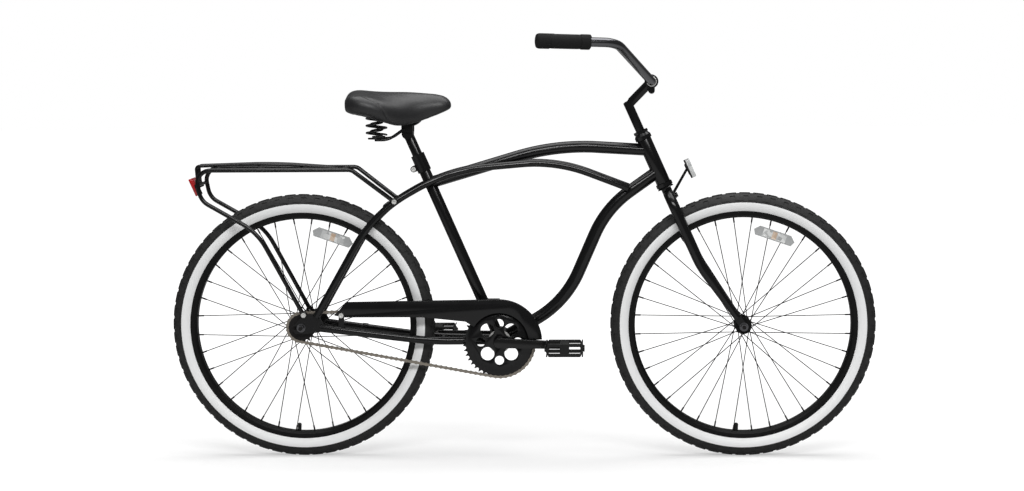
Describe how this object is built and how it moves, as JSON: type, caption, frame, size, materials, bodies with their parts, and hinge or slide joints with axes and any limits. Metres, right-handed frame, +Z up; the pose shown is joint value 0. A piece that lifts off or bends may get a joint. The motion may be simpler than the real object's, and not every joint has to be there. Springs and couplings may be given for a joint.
{
  "type": "beach cruiser bicycle",
  "caption": "Beach cruiser bicycle with a curved tube frame, wide swept-back handlebar, sprung saddle, white-wall tyres, chain guard and rear rack.",
  "frame": {"origin": "on the ground, midway between the wheel axles, on the centre plane", "axes": "+X forward, +Y to the rider's left, +Z up"},
  "size_m": [1.7757, 0.6572, 1.0666],
  "materials": {
    "frame_paint": "satin black",
    "black_alloy": "satin black",
    "dark_chrome": "dark polished",
    "steel": "zinc plated",
    "chain_steel": "oiled brown",
    "tyre_rubber": "matt black with white walls",
    "soft_rubber": "matt black",
    "black_plastic": "matt black",
    "saddle_skin": "matt black",
    "clear_reflector": "clear ribbed",
    "red_reflector": "red ribbed"
  },
  "bodies": {
    "frame": {"head_tube": "frame_paint", "top_tube": "frame_paint", "down_tube": "frame_paint", "seat_tube": "frame_paint", "side_tubes": "frame_paint", "chainstays": "frame_paint", "bottom_bracket_shell": "frame_paint", "dropouts": "frame_paint", "stay_bridges": "frame_paint", "headset_cups": "steel", "bottom_bracket_cups": "steel", "bearing_balls": "steel", "seat_clamp": "frame_paint", "frame_bolts": "steel", "chain_guard": "frame_paint", "guard_brackets": "frame_paint", "rack_sides": "frame_paint", "rack_deck": "frame_paint", "tail_reflector": "red_reflector", "rear_axle": "steel", "rear_axle_nuts": "steel", "brake_arm": "frame_paint", "chain": "chain_steel"},
    "steering": {"fork_steerer": "frame_paint", "fork_legs": "frame_paint", "fork_tips": "frame_paint", "headset_races": "steel", "stem": "dark_chrome", "steering_bolts": "steel", "front_axle": "steel", "front_axle_nuts": "steel", "front_reflector_bracket": "frame_paint", "front_reflector": "clear_reflector"},
    "bars": {"handlebar": "dark_chrome", "grip_right": "soft_rubber", "grip_left": "soft_rubber"},
    "front_wheel": {"front_tyre": "tyre_rubber", "front_inner_tube": "soft_rubber", "front_rim": "black_alloy", "front_spokes": "steel", "front_hub": "black_alloy", "front_wheel_reflector": "clear_reflector"},
    "rear_wheel": {"rear_tyre": "tyre_rubber", "rear_inner_tube": "soft_rubber", "rear_rim": "black_alloy", "rear_spokes": "steel", "rear_hub": "black_alloy", "rear_wheel_reflector": "clear_reflector"},
    "driver": {"rear_sprocket": "chain_steel"},
    "crankset": {"crank": "black_alloy", "chainring": "black_alloy", "pedal_spindles": "steel"},
    "right_pedal": {"pedal_right": "black_plastic"},
    "left_pedal": {"pedal_left": "black_plastic"},
    "seat_mast": {"seat_post": "frame_paint", "saddle_clamp": "frame_paint", "saddle_rails": "frame_paint", "saddle_springs": "steel"},
    "saddle": {"saddle_cover": "saddle_skin", "saddle_pan": "black_plastic"}
  },
  "joints": [
    {"name": "steering", "type": "hinge", "parent": "frame", "child": "steering", "pos_m": [0.52161, 0, 0.31886], "axis": [-0.4067, 0, 0.9135], "range_deg": [-60, 60]},
    {"name": "handlebar_tilt", "type": "hinge", "parent": "steering", "child": "bars", "pos_m": [0.32585, 0, 0.9454], "axis": [0, 1, 0], "range_deg": [-15, 15]},
    {"name": "front_wheel_spin", "type": "hinge", "parent": "steering", "child": "front_wheel", "pos_m": [0.5545, 0, 0.3335], "axis": [0, 1, 0], "continuous": true},
    {"name": "rear_wheel_spin", "type": "hinge", "parent": "frame", "child": "rear_wheel", "pos_m": [-0.5545, 0, 0.3335], "axis": [0, 1, 0], "continuous": true},
    {"name": "crank_spin", "type": "hinge", "parent": "frame", "child": "crankset", "pos_m": [-0.05703, 0, 0.296], "axis": [0, 1, 0], "continuous": true, "deforming": ["chain"]},
    {"name": "sprocket_spin", "type": "hinge", "parent": "frame", "child": "driver", "pos_m": [-0.5545, 0, 0.3335], "axis": [0, 1, 0], "continuous": true, "deforming": ["chain"]},
    {"name": "right_pedal_spin", "type": "hinge", "parent": "crankset", "child": "right_pedal", "pos_m": [0.10787, 0, 0.29024], "axis": [0, 1, 0], "continuous": true},
    {"name": "left_pedal_spin", "type": "hinge", "parent": "crankset", "child": "left_pedal", "pos_m": [-0.22193, 0, 0.30176], "axis": [0, 1, 0], "continuous": true},
    {"name": "seat_post_slide", "type": "slide", "parent": "frame", "child": "seat_mast", "axis": [-0.4003, 0, 0.9164], "range_m": [-0.04, 0.11]},
    {"name": "saddle_bounce", "type": "hinge", "parent": "seat_mast", "child": "saddle", "pos_m": [-0.24003, 0, 0.86603], "axis": [0, -1, 0], "range_deg": [0, 4], "stiffness_Nm_per_rad": 400, "deforming": ["saddle_springs"]}
  ],
  "couplings": [
    {"joint": "sprocket_spin", "follows": "crank_spin", "ratio": 2.4444}
  ]
}
